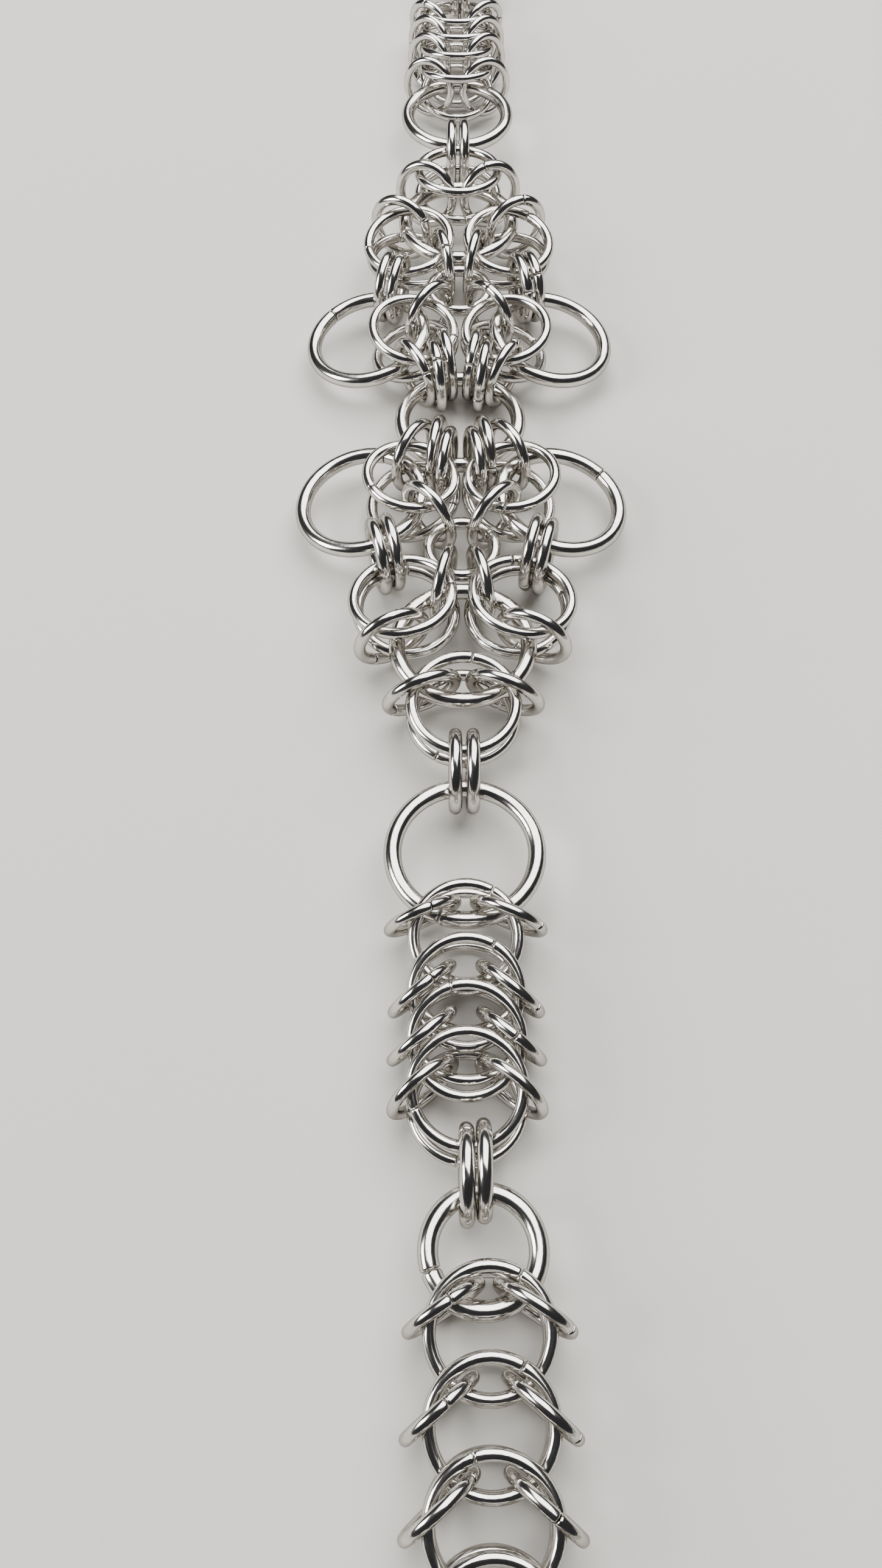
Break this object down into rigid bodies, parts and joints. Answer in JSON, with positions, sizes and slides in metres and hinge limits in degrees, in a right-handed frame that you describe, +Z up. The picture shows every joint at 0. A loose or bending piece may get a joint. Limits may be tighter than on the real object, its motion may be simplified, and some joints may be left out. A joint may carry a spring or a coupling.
{
  "type": "chainmail choker",
  "caption": "Chainmail choker of interlocked polished steel jump rings with a round centre motif, laid in a closed loop.",
  "frame": {"origin": "centre of the outer box of the loop, on the surface that it lies on", "axes": "+Z up from the surface, +Y along the front from its near to its far end, +X from the front to the clasp"},
  "size_m": [0.0798, 0.208, 0.0071],
  "materials": {
    "steel": "polished"
  },
  "bodies": {
    "root": {"centre_ring": "steel", "side_ring_near_right": "steel", "side_ring_near_left": "steel", "side_ring_far_right": "steel", "side_ring_far_left": "steel", "inner_upper_near_right": "steel", "inner_upper_near_left": "steel", "inner_upper_far_right": "steel", "inner_upper_far_left": "steel", "inner_lower_near_right": "steel", "inner_lower_near_left": "steel", "inner_lower_far_right": "steel", "inner_lower_far_left": "steel", "outer_upper_near_right": "steel", "outer_upper_near_left": "steel", "outer_upper_far_right": "steel", "outer_upper_far_left": "steel", "outer_lower_near_right": "steel", "outer_lower_near_left": "steel", "outer_lower_far_right": "steel", "outer_lower_far_left": "steel", "middle_ring_near": "steel", "middle_ring_far": "steel", "knot_ring_near": "steel", "knot_ring_far": "steel", "cap_upper_near": "steel", "cap_upper_far": "steel", "cap_lower_near": "steel", "cap_lower_far": "steel", "link_ring_near": "steel", "link_ring_far": "steel", "end_ring_near": "steel", "end_ring_far": "steel", "weave_near": "steel", "weave_far": "steel", "connectors_near": "steel", "connectors_far": "steel", "wide_chain_near": "steel", "wide_chain_far": "steel", "side_chain_near": "steel", "side_chain_far": "steel", "back_chain_near": "steel", "back_chain_far": "steel", "corner_near": "steel", "corner_far": "steel", "clasp": "steel"}
  },
  "joints": []
}
